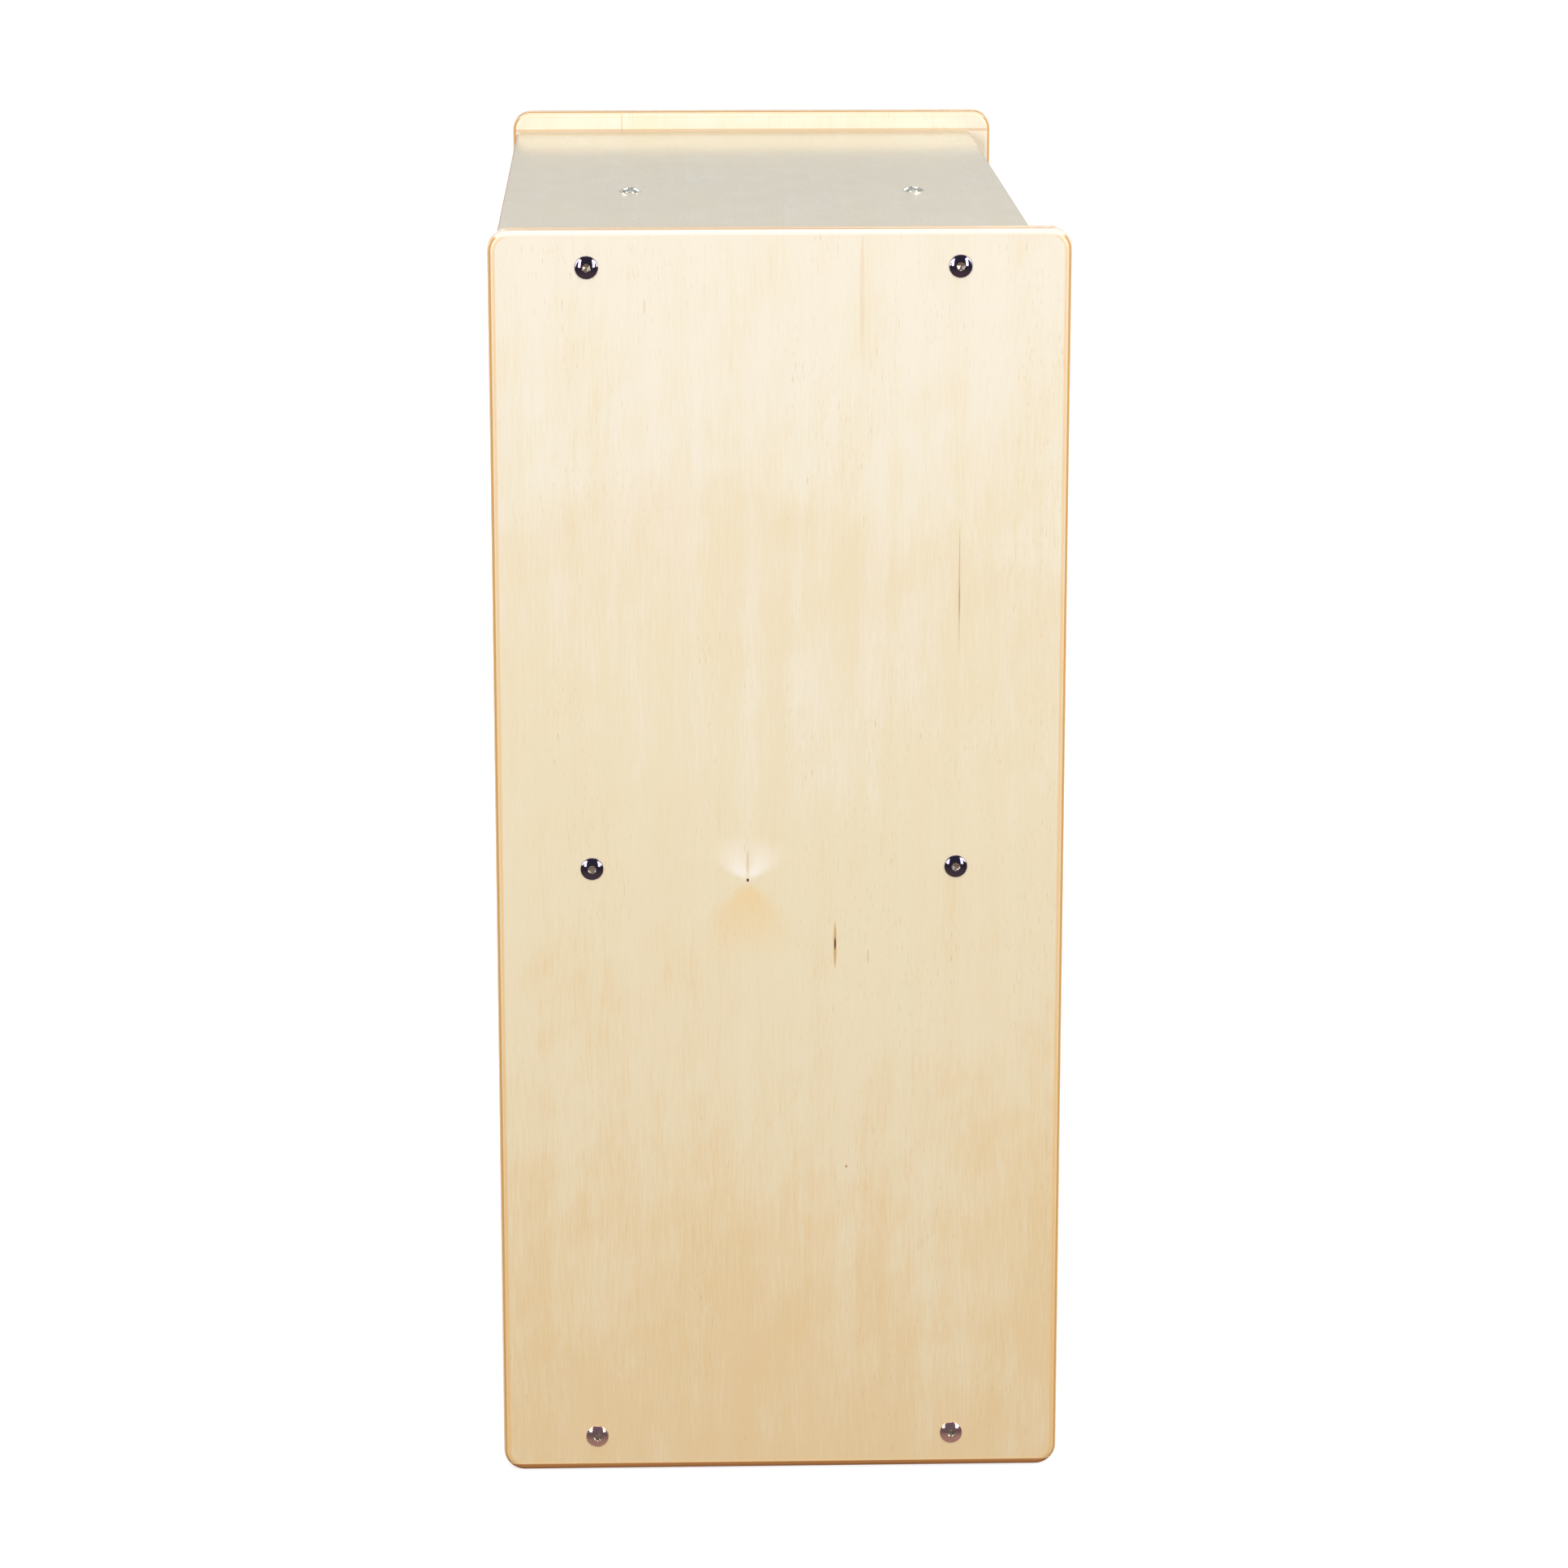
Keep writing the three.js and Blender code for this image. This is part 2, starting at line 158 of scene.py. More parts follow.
def plate(axis, low, high, radii, rounding):
    """A board: a rounded rectangle carried along an axis, with every edge of its two ends rounded."""
    across = [(axis + 1) % 3, (axis + 2) % 3]
    insets, places = edge_rows(low[axis], high[axis], rounding)
    rings = [rounded_rectangle(low[across], high[across], radii, inset) for inset in insets]
    return stack(axis, rings, places)


def round_bar(axis, centre, start, end, radii, shares=(0, 1)):
    """A straight bar along an axis: a circle of each radius at each share of the way along."""
    across = [(axis + 1) % 3, (axis + 2) % 3]
    angles = np.arange(ROUND_SIDES) * 2 * np.pi / ROUND_SIDES
    circle = np.stack([np.cos(angles), np.sin(angles)], -1)
    rings = np.asarray(radii, float)[:, None, None] * circle + np.asarray(centre)[across]
    return stack(axis, rings, start + np.asarray(shares) * (end - start))


def drill(axis, centre, start, end, radius):
    """The cutter for a round hole along an axis: a bar of one radius."""
    return round_bar(axis, centre, start, end, [radius, radius])


def square_bar(low, high):
    """A square-cornered bar along X between two opposite corners."""
    ring = [[low[Y], low[Z]], [high[Y], low[Z]], [high[Y], high[Z]], [low[Y], high[Z]]]
    return stack(X, [ring, ring], [low[X], high[X]])


def bolt_rings():
    """A button-head bolt, base of the head at the origin and head along +Z. A profile of radius and
    height is turned about Z; the socket's rings are drawn to a hexagon, whose radius at an angle is
    its flat divided by the cosine of the angle from the middle of that flat."""
    dome_rise = HEAD_HEIGHT - HEAD_RIM + DOME_DROP
    dome_radius = (HEAD_RADIUS**2 + dome_rise**2) / (2 * dome_rise)
    socket_mouth = SOCKET_FLAT / math.cos(math.pi / 6) + SOCKET_CHAMFER
    dome_r = np.linspace(HEAD_RADIUS - RIM_ROUNDING, socket_mouth, DOME_STEPS)
    dome_h = HEAD_HEIGHT - dome_radius + np.sqrt(dome_radius**2 - dome_r**2)
    turn = np.linspace(0, np.pi / 2, RIM_STEPS + 1)[:-1]
    rim_r = HEAD_RADIUS - RIM_ROUNDING + RIM_ROUNDING * np.cos(turn)
    rim_h = dome_h[0] - RIM_ROUNDING + RIM_ROUNDING * np.sin(turn)
    length = shank_length()
    profile = np.concatenate(
        [
            [[SHANK_RADIUS - SHANK_TIP, -length], [SHANK_RADIUS, SHANK_TIP - length]],
            [[SHANK_RADIUS, 0], [HEAD_RADIUS - HEAD_ARRIS, 0], [HEAD_RADIUS, HEAD_ARRIS]],
            np.stack([rim_r, rim_h], -1),
            np.stack([dome_r, dome_h], -1),
        ]
    )
    angles = np.arange(ROUND_SIDES) * 2 * np.pi / ROUND_SIDES
    circle = np.stack([np.cos(angles), np.sin(angles)], -1)
    hexagon = circle / np.cos(angles % (np.pi / 3) - np.pi / 6)[:, None]
    floor = dome_h[-1] - SOCKET_DEPTH
    socket = [
        (SOCKET_FLAT, dome_h[-1] - CHAMFER_DEPTH),
        (SOCKET_FLAT, floor),
        (SOCKET_FLAT * SOCKET_FLOOR[0], floor - SOCKET_FLOOR[1]),
        (DRILL_POINT[0], floor - DRILL_POINT[1]),
    ]
    rings = [r * circle for r, _ in profile] + [r * hexagon for r, _ in socket]
    heights = [h for _, h in profile] + [h for _, h in socket]
    return stack(Z, rings, heights)


def shank_length():
    """From the underside of a bolt's head to its tip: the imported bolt's length less its head."""
    low, high = box_of("left_top_front_bolt")
    return high[X] - low[X] - HEAD_HEIGHT


# ---- meshes ----


def volume_behind(points, faces):
    """Six times the volume between the origin and faces that all have as many corners. A face is a
    fan of triangles from its first corner, and each adds that corner's dot product with the cross
    product of the other two."""
    fans = points[faces]
    return np.sum(fans[:, :1] * np.cross(fans[:, 1:-1], fans[:, 2:]))


def new_mesh(name, bodies):
    """A mesh of closed bodies, each a stack of rings: four-sided faces from ring to ring and a flat
    face over each end. A body whose volume comes out negative has its faces turned round."""
    points, faces = [], []
    for rings in bodies:
        count, sides = rings.shape[:2]
        start = sum(len(p) for p in points)
        flat = rings.reshape(-1, 3)
        index = np.arange(count * sides).reshape(count, sides)
        beside = np.roll(index, -1, 1)
        quads = np.stack([index[:-1], beside[:-1], beside[1:], index[1:]], -1).reshape(-1, 4)
        caps = np.stack([index[0][::-1], index[-1]])
        if volume_behind(flat, quads) + volume_behind(flat, caps) < 0:
            quads, caps = quads[:, ::-1], caps[:, ::-1]
        points.append(flat)
        faces += (quads + start).tolist()
        faces += (caps + start).tolist()
    mesh = bpy.data.meshes.new(name)
    mesh.from_pydata(np.concatenate(points) * MM, [], faces)
    return mesh


def new_object(name, data):
    """An object in the scene that holds a mesh, a light or a camera."""
    made = bpy.data.objects.new(name, data)
    bpy.context.scene.collection.objects.link(made)
    return made


def cut(piece, cutters):
    """Takes cutters, stacks of rings that don't meet each other, out of a piece."""
    tool = new_object("cutter", new_mesh("cutter", cutters))
    modifier = piece.modifiers.new("cut", "BOOLEAN")
    modifier.object = tool
    modifier.operation = "DIFFERENCE"
    modifier.solver = "EXACT"
    whole = piece.data
    evaluated = piece.evaluated_get(bpy.context.evaluated_depsgraph_get())
    piece.data = bpy.data.meshes.new_from_object(evaluated)
    piece.modifiers.clear()
    bpy.data.meshes.remove(whole)
    bpy.data.meshes.remove(tool.data)


def finish_piece(piece, node, material):
    """Shades a piece smooth between its sharp edges and sets it in the frame for its solid."""
    piece.data.name = piece.name
    piece.data.shade_smooth()
    piece.data.set_sharp_from_angle(angle=SHARP_ANGLE)
    piece.data.materials.clear()
    piece.data.materials.append(material)
    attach(piece, BODY)
    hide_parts(node)


# ---- shader maths ----


class Wire:
    """One output of a shader node. Arithmetic on it adds Math nodes to the same material."""

    def __init__(self, socket):
        self.socket = socket

    def node(self, kind, settings=None, sockets=None, out=0):
        """Any other node, in the same tree."""
        return add_node(self.socket.id_data, kind, settings, sockets, out)

    def math(self, operation, *terms):
        """A Math node on the terms."""
        return self.node("Math", {"operation": operation}, dict(enumerate(terms)))

    def __add__(self, other):
        return self.math("ADD", self, other)

    __radd__ = __add__

    def __sub__(self, other):
        return self.math("SUBTRACT", self, other)

    def __rsub__(self, other):
        return self.math("SUBTRACT", other, self)

    def __mul__(self, other):
        return self.math("MULTIPLY", self, other)

    __rmul__ = __mul__

    def __truediv__(self, other):
        return self.math("DIVIDE", self, other)

    def __abs__(self):
        return self.math("ABSOLUTE", self)

    def rise(self, start, end):
        """0 up to start, 1 from end on, and a smooth step between."""
        return self.node(
            "MapRange",
            {"interpolation_type": "SMOOTHSTEP"},
            {"Value": self, "From Min": start, "From Max": end},
        )

    def tint(self, low, high):
        """A colour from low, where this is 0, to high, where it is 1."""
        low, high = (c if isinstance(c, Wire) else (*c, 1) for c in (low, high))
        return self.node("Mix", {"data_type": "RGBA"}, {0: self, 6: low, 7: high}, 2)

    def dim(self, share):
        """This colour with each of its channels brought down to a share."""
        sockets = {0: 1.0, 6: self, 7: (share, share, share, 1)}
        return self.node("Mix", {"data_type": "RGBA", "blend_type": "MULTIPLY"}, sockets, 2)


def add_node(tree, kind, settings=None, sockets=None, out=0):
    """Adds a node of a type with its settings, then the values or links of its sockets."""
    made = tree.nodes.new("ShaderNode" + kind)
    for name, value in (settings or {}).items():
        setattr(made, name, value)
    for name, value in (sockets or {}).items():
        if isinstance(value, Wire):
            tree.links.new(value.socket, made.inputs[name])
        else:
            made.inputs[name].default_value = value
    return Wire(made.outputs[out]) if made.outputs else None


def empty_tree(block):
    """The cleared node tree of a material or a world."""
    block.use_nodes = True
    block.node_tree.nodes.clear()
    return block.node_tree


def new_material(name):
    """A material without nodes but for the place on the piece in millimetres, as X, Y and Z."""
    material = bpy.data.materials.new(name)
    place = add_node(empty_tree(material), "TexCoord", out=3)
    axes = [place.node("SeparateXYZ", None, {0: place}, k) / MM for k in range(3)]
    return material, axes


def finish_surface(material, surface, **sockets):
    """Gives a material its Principled surface."""
    shader = add_node(material.node_tree, "BsdfPrincipled", None, {**surface, **sockets})
    shader.node("OutputMaterial", None, {"Surface": shader})
    return material


def noise(x, y, z, detail=2.0, roughness=0.5):
    """Soft noise, about 0.5, at a point whose coordinates are in the noise's own cells."""
    point = x.node("CombineXYZ", None, {0: x, 1: y, 2: z})
    sockets = {"Vector": point, "Scale": 1.0, "Detail": detail, "Roughness": roughness}
    return x.node("TexNoise", None, sockets)


def figure(c, g, cell, layer, detail, roughness=0.5):
    """Noise on a face, in cells with a width across the grain and a length along it."""
    return noise(c / cell[0], g / cell[1], layer, detail, roughness)


# ---- finishes ----

PALE = (0.86, 0.80, 0.65)
CREAM = (0.82, 0.72, 0.49)
TAN = (0.79, 0.595, 0.325)
BLUSH = (0.84, 0.66, 0.45)
FLECK = (0.62, 0.40, 0.20)
AMBER = (0.84, 0.60, 0.28)
# Resin colour, also used for the painted shade along the right panel's joint with the top board
RESIN_AND_JOINT_SHADE = (0.62, 0.34, 0.10)
UMBER = (0.05, 0.02, 0.012)
RUST = (0.42, 0.20, 0.09)
LONG_GRAIN = (0.86, 0.72, 0.49)
END_GRAIN = (0.60, 0.28, 0.05)
EDGE_RING_TAN = (0.80, 0.47, 0.14)
FOOT_LINE = (0.92, 0.66, 0.32)
# Dark foot of a panel: end-grain stain and painted shade under the rounded edge
FOOT_STAIN_AND_SHADE = (0.42, 0.155, 0.03)
# Painted highlight along the rounded top edge of a panel
HEAD_HIGHLIGHT_COLOUR = (0.90, 0.86, 0.77)
GLUE = (0.25, 0.12, 0.05)
KNOT_FAN = (0.94, 0.88, 0.76)
BEECH_PALE = (0.68, 0.47, 0.27)
BEECH_DARK = (0.58, 0.37, 0.2)
BEECH_FLECK = (0.36, 0.19, 0.09)
# Nickel colours by a bolt's height: painted reflections, not the plate's own colour
LOW_NICKEL_PAINTED_REFLECTION = (0.95, 0.64, 0.57)
HIGH_NICKEL_PAINTED_REFLECTION = (0.14, 0.12, 0.18)
TOP_NICKEL_PAINTED_REFLECTION = (0.85, 0.85, 0.72)
SMUDGE = (0.16, 0.13, 0.14)
SOCKET_PALE = (0.70, 0.62, 0.50)
SOCKET_DARK = (0.34, 0.29, 0.23)
ZINC_DARK = (0.50, 0.50, 0.48)
ZINC_PALE = (0.66, 0.66, 0.63)

# Cells of noise on a face, across and along the grain
CLOUD = (75, 130)
CURL = (26, 40)
CURL_SLANT = 60  # how far along the grain a curl runs while it crosses one cell
BAND = (16, 420)
FIBRE = (1.3, 24)
ROSY_PATCH = (20, 220)
DASH = (0.5, 9)
DASH_PATCH = (40, 110)
GLOSS_PATCH = (30, 60)
RAISED_FIBRE = (0.6, 18)
SWELL = (25, 60)
FIGURE_DRIFT = 0.4  # how fast the figure changes through the sheet

# Cut edges and varnish
PORE = 0.5
SAW_MARK = (9, 0.35)  # along a cut edge and through the sheet
GLUE_EDGE = (0.43, 0.49)  # from a ply's middle, in plies
GRAIN_STRENGTH = 0.25
GRAIN_HEIGHT = 0.05
VARNISH_IOR = 1.5

# Marks on the left panel's outer face. A place is across from the panel's middle and up from its foot.
KNOT_PLACE = (23, 441)
KNOT_FAN_REACH = 40
KNOT_CONE_REACH = 72
ARCH_MIDDLE = 65
ARCH_FALL = 0.3  # of its height, for each millimetre to the side
ARCH_WAVER = 30
ARCH_CELL = (60, 60)
ARCH_CREST = (718, 750)
ARCH_FADE = (540, 735)
STREAKS = [  # place, half width and half height, colour, strength
    ((-38.6, 393), (1.1, 16), RESIN_AND_JOINT_SHADE, 0.8),
    ((-38.6, 394), (0.5, 4.5), UMBER, 1.0),
    ((-62, 384.5), (0.6, 5), RESIN_AND_JOINT_SHADE, 0.45),
    ((-124.4, 650), (0.4, 42), RUST, 0.5),
    ((-124.6, 640), (0.45, 12), RUST, 0.5),
    ((-47, 229), (0.8, 1.1), RUST, 0.8),
    ((-56, 858), (1.6, 40), RESIN_AND_JOINT_SHADE, 0.15),
    ((93, 847), (0.7, 5), RESIN_AND_JOINT_SHADE, 0.3),
]

# Marks on the right panel's inner face
SEAM_PLACE = (109, 880)
SEAM_SIZE = (0.7, 60)
# Painted shade on the right panel just above its joint with the top board
JOINT_SHADE_BAND = (400, 1.3)  # half width and half height

# Bands round a side panel: each starts or ends between two distances from the panel's outline
RING_START = (2.8, 3.3)
RING_END = (4.4, 5.6)
HIGHLIGHT_START = (0.3, 0.8)
HIGHLIGHT_END = (4, 6)
FOOT_LINE_END = (5.8, 6.6)
FOOT_STAIN_AND_SHADE_END = (4.7, 5.4)


def face_figure(c, g, depth, tone):
    """The colour of rotary-cut birch. c is across the grain, g along it and depth through the sheet.
    Wide clouds and bands along the grain carry pale wood to tan, and short thin dashes lie on them.
    tone, 0 to 1, moves the whole face from pale to tan."""
    clouds = figure(c, g, CLOUD, depth, 3)
    curl = noise(c / CURL[0] + g / CURL_SLANT, g / CURL[1], depth + 3, 3)
    bands = figure(c, g, BAND, depth + 5, 4, 0.6)
    fibre = figure(c, g, FIBRE, depth + 9, 5, 0.75)
    warm = tone
    for layer, weight in ((clouds, 0.42), (curl, 0.28), (bands, 0.45), (fibre, 0.75)):
        warm = warm + weight * (layer - 0.5)
    wood = warm.rise(0.5, 1).tint(warm.rise(0, 0.5).tint(PALE, CREAM), TAN)
    rosy = figure(c, g, ROSY_PATCH, depth + 7, 2).rise(0.42, 0.72)
    wood = (rosy * 0.1).tint(wood, BLUSH)
    dashes = figure(c, g, DASH, depth + 13, 1, 0.4).rise(0.67, 0.76)
    patches = figure(c, g, DASH_PATCH, depth + 17, 2).rise(0.42, 0.62)
    return (dashes * (0.1 + 0.4 * patches)).tint(wood, FLECK)


def spot(c, g, at, size, soft=0.5):
    """1 inside an ellipse about a point and 0 outside it. Its edge is soft over that share."""
    u, w = (c - at[0]) / size[0], (g - at[1]) / size[1]
    return 1 - (u * u + w * w).rise(1 - soft, 1 + soft)


def pin_knot(c, g, at, wood):
    """A pin knot: a dark point, a pale fan in two lobes above it and an amber cone below it. The
    slope is how far a place is to the side, for how far above or below the point it is."""
    u, w = abs(c - at[0]), g - at[1]
    slope = u / (abs(w) + 2.5) + 0.5 * (noise(c / 4, g / 14, 31, 3, 0.6) - 0.5)
    distance = (u * u + w * w).math("SQRT", u * u + w * w)
    fan = w.rise(-1, 5) * (0.45 + 0.55 * slope.rise(0.02, 0.35)) * (1 - slope.rise(0.7, 2.0))
    cone = (1 - w.rise(-9, 0)) * (1 - slope.rise(0.3, 1.3)) * (1 - distance.rise(2, KNOT_CONE_REACH))
    wood = (fan * (1 - distance.rise(1, KNOT_FAN_REACH)) * 0.9).tint(wood, KNOT_FAN)
    wood = (cone * 0.65).tint(wood, AMBER)
    wood = (spot(c, g, (at[0], at[1] + 13), (0.9, 8)) * 0.4).tint(wood, FLECK)
    return spot(c, g, at, (0.9, 1.2)).tint(wood, UMBER)


def outer_face_marks(c, g, wood):
    """The marks on the left panel's outer face: a faint arch, whose height falls away to each side
    of its middle, a pin knot, mineral streaks and a fine crack."""
    waver = ARCH_WAVER * (figure(c, g, ARCH_CELL, 47, 3) - 0.5)
    arch = g + ARCH_FALL * abs(c - ARCH_MIDDLE) + waver
    wood = ((1 - arch.rise(*ARCH_CREST)) * arch.rise(*ARCH_FADE) * 0.14).tint(wood, TAN)
    wood = pin_knot(c, g, KNOT_PLACE, wood)
    for at, size, colour, strength in STREAKS:
        wood = (spot(c, g, at, size) * strength).tint(wood, colour)
    return wood


def inner_face_marks(c, g, wood):
    """The marks on the right panel's inner face: a band of painted shade along its joint with the top
    board, and a veneer seam. g is the height, because the panel stands on the floor."""
    joint_shade = (0, box_of("top_board")[1][Z] + JOINT_SHADE_BAND[1])
    # Painted shade: a tan band along the joint, where shade falls between the panel and the board
    wood = (spot(c, g, joint_shade, JOINT_SHADE_BAND) * 0.5).tint(wood, RESIN_AND_JOINT_SHADE)
    return (spot(c, g, SEAM_PLACE, SEAM_SIZE) * 0.35).tint(wood, RESIN_AND_JOINT_SHADE)


def edge_ring(colour, to_side, to_end, strength):
    """A tan ring beside a panel's rounded edge. to_side and to_end are the distances to the nearest
    long edge and to the nearest end."""
    u, w = (span.math("MAXIMUM", CORNER_RADIUS - span, 0) for span in (to_side, to_end))
    inset = CORNER_RADIUS - u.math("SQRT", u * u + w * w)
    ring = (0.35 + 0.65 * inset.rise(*RING_START)) * (1 - inset.rise(*RING_END))
    return (ring * strength).tint(colour, EDGE_RING_TAN)


def head_and_foot(colour, height, below_head, highlight_strength):
    """A painted highlight along a panel's head, and along its foot a pale line over end grain
    that is dark from staining and from painted shade. The second result is 1 on that dark band."""
    head = (1 - below_head.rise(*HIGHLIGHT_END)) * below_head.rise(*HIGHLIGHT_START)
    # Painted highlight: a pale band along the head, where the rounded top edge catches the light
    colour = (head * highlight_strength).tint(colour, HEAD_HIGHLIGHT_COLOUR)
    colour = ((1 - height.rise(*FOOT_LINE_END)) * 0.6).tint(colour, FOOT_LINE)
    # Partly stain and partly painted shade: the foot's rounded edge darkens where it turns down from
    # the light
    stain_and_shade = 1 - height.rise(*FOOT_STAIN_AND_SHADE_END)
    return (stain_and_shade * 0.92).tint(colour, FOOT_STAIN_AND_SHADE), stain_and_shade


def ply_edges(c, g, through, depth, count, at_end):
    """The colour of a cut edge, and 1 where it shows end grain. The plies turn by turn show pale long
    grain, where the edge runs with their grain, and dark end grain. count is how many plies a place
    is in from the face veneer, and at_end is 1 on the edges that run across the face grain."""
    ply = count.math("FLOOR", count)
    crossed = abs(ply.math("MODULO", ply + 1, 2))
    end_grain = crossed * (1 - at_end) + (1 - crossed) * at_end
    pores = noise(c / PORE, g / PORE, depth + through / PORE, 2, 0.7)
    fine = noise(c / SAW_MARK[0] + g / SAW_MARK[0], through / SAW_MARK[1], depth, 3, 0.6)
    long_grain = (fine.rise(0.3, 0.8) * 0.5).tint(LONG_GRAIN, TAN)
    sawn = (pores.rise(0.3, 0.7) * 0.35).tint(END_GRAIN, TAN)
    glue = abs(count.math("FRACT", count) - 0.5).rise(*GLUE_EDGE)
    return (glue * 0.6).tint(end_grain.tint(long_grain, sawn), GLUE), end_grain


def birch_ply(name, node, through, along, seed, tone, painted_light_climb=0, marks=None, gloss=0.32, shade=1):
    """Varnished birch plywood. through is the sheet's thickness axis and along the axis of the face
    grain. climb is painted light: it pales the face with height by that much a metre. shade is
    painted shade: it dims the whole sheet, which the lamps light strongly.
    marks, for a side panel, holds the face that is marked (side), the function that draws on it
    (draw), how strong the painted highlight along the head is (sapwood) and how strong the tan
    ring beside the rounded edge is (ring)."""
    low, high = box_of(node)
    middle, half = (low + high) / 2, (high - low) / 2
    across = X + Y + Z - through - along
    material, axes = new_material(name)
    c, g, t = axes[across], axes[along], axes[through] - middle[through]
    to_side = half[across] - abs(c - middle[across])
    to_end = half[along] - abs(g - middle[along])
    depth = t * FIGURE_DRIFT + seed
    # Painted light: the face grows paler towards its top, as if lit more strongly there
    if painted_light_climb:
        tone = tone - painted_light_climb * (axes[Z] - middle[Z]) * MM
    wood = face_figure(c, g, depth, tone)
    if marks:
        marked = (t * marks["side"]).rise(half[through] - 2, half[through] - 1)
        wood = marked.tint(wood, marks["draw"](c - middle[across], g - low[along], wood))
        wood = edge_ring(wood, to_side, to_end, marks["ring"])

    count = (half[through] - FACE_VENEER - abs(t)) / PLY
    at_end = (to_side - to_end).rise(-2, 2)
    edge, end_grain = ply_edges(c, g, axes[through], depth, count, at_end)
    core = count.rise(-0.06, 0.06)
    colour = core.tint(wood, edge)
    rough = gloss + 0.05 * (figure(c, g, GLOSS_PATCH, depth, 3) - 0.5) + 0.2 * core * end_grain
    if marks:
        height, below_head = axes[Z] - low[Z], high[Z] - axes[Z]
        colour, stain_and_shade = head_and_foot(colour, height, below_head, marks["painted_highlight"])
        rough = rough + 0.5 * stain_and_shade
    # Painted shade: the whole sheet is darkened, to offset the strong light on it
    if shade < 1:
        colour = colour.dim(shade)

    raised = figure(c, g, RAISED_FIBRE, depth, 2, 0.6) + 0.6 * figure(c, g, SWELL, depth, 2)
    grain = raised - 0.5 * end_grain * core
    relief = {"Strength": GRAIN_STRENGTH, "Distance": GRAIN_HEIGHT * MM, "Height": grain}
    bump = grain.node("Bump", None, relief)
    surface = {"Base Color": colour, "Roughness": rough, "Normal": bump}
    return finish_surface(material, surface, IOR=VARNISH_IOR)


def bright_nickel():
    """Bright nickel plate with faint handling marks. Its colour holds painted reflections by height:
    warm on the lowest bolts, dark on those above, and pale on the heads on the top board."""
    material, (x, y, z) = new_material("bright_nickel")
    board_face = box_of("top_board")[1][Z]
    smudge = noise(x / 3, y / 3, z / 3, 4, 0.6)
    scratch = noise(x / 0.25, y / 4, z / 4, 2).rise(0.6, 0.72)
    # Painted reflections: the plate's colour changes with height in place of what each bolt mirrors
    painted_reflection_colour = z.rise(60, 420).tint(LOW_NICKEL_PAINTED_REFLECTION, HIGH_NICKEL_PAINTED_REFLECTION)
    painted_reflection_colour = z.rise(board_face - 0.6, board_face - 0.1).tint(painted_reflection_colour, TOP_NICKEL_PAINTED_REFLECTION)
    colour = (smudge.rise(0.3, 0.75) * 0.2).tint(painted_reflection_colour, SMUDGE)
    rough = 0.05 + 0.08 * smudge.rise(0.4, 0.8) + 0.05 * scratch
    return finish_surface(material, {"Base Color": colour, "Roughness": rough}, Metallic=1.0)


def socket_nickel():
    """The plating inside a socket, duller and paler where the plating is thin."""
    material, (x, y, z) = new_material("socket_nickel")
    blotch = noise(x / 1.5, y / 1.5, z / 1.5, 3, 0.6)
    colour = blotch.rise(0.3, 0.7).tint(SOCKET_PALE, SOCKET_DARK)
    rough = 0.16 + 0.15 * blotch
    return finish_surface(material, {"Base Color": colour, "Roughness": rough}, Metallic=1.0)


def zinc_plate():
    """Dull zinc plate over fine turning marks, which lie level round an upright nut."""
    material, (x, y, z) = new_material("zinc_plate")
    turning = noise(x / 6, y / 6, z / 0.2, 3, 0.6)
    colour = turning.rise(0.25, 0.75).tint(ZINC_DARK, ZINC_PALE)
    rough = 0.3 + 0.2 * noise(x / 2, y / 2, z / 2, 3)
    return finish_surface(material, {"Base Color": colour, "Roughness": rough}, Metallic=1.0)


def beech():
    """Turned beech with short flecks, for the dowels."""
    material, (x, y, z) = new_material("turned_beech")
    fleck = noise(x / 2, y / 0.5, z / 0.5, 2).rise(0.58, 0.68)
    warm = noise(x / 20, y / 3, z / 3, 3)
    wood = warm.rise(0.3, 0.7).tint(BEECH_PALE, BEECH_DARK)
    colour = (fleck * 0.5).tint(wood, BEECH_FLECK)
    return finish_surface(material, {"Base Color": colour, "Roughness": 0.6 + 0.1 * warm})


# ---- boards ----


def side_panel(name, side, material):
    """A side panel: bolt holes through it, and dowel holes and a stopped groove in its inner face."""
    node = name + "_side_panel"
    low, high = box_of(node)
    inner, outer = (high[X], low[X]) if side < 0 else (low[X], high[X])
    inside, outside = inner - side * OVERRUN, outer + side * OVERRUN
    board = plate(X, low, high, [CORNER_RADIUS] * 4, SIDE_ROUNDING)
    piece = new_object("panel_" + name, new_mesh(node, [board]))
    cutters = []
    for row in ROWS:
        for column in COLUMNS:
            centre = np.mean(box_of(f"{name}_{row}_{column}_bolt"), 0)
            cutters.append(drill(X, centre, inside, outside, BOLT_HOLE_RADIUS))
        pin = box_of(f"{name}_{row}_dowel")
        end = pin[1][X] + OVERRUN if side > 0 else pin[0][X] - OVERRUN
        cutters.append(drill(X, np.mean(pin, 0), inside, end, DOWEL_HOLE_RADIUS))
    back = np.mean(box_of("back_panel"), 0)[Y]
    bottom, top = (np.mean(box_of(board), 0)[Z] for board in ("bottom_board", "top_board"))
    left, right = sorted([inside, inner + side * GROOVE_DEPTH])
    front, rear = back - GROOVE_WIDTH / 2, back + GROOVE_WIDTH / 2
    cutters.append(square_bar([left, front, bottom], [right, rear, top]))
    cut(piece, cutters)
    finish_piece(piece, node, material)


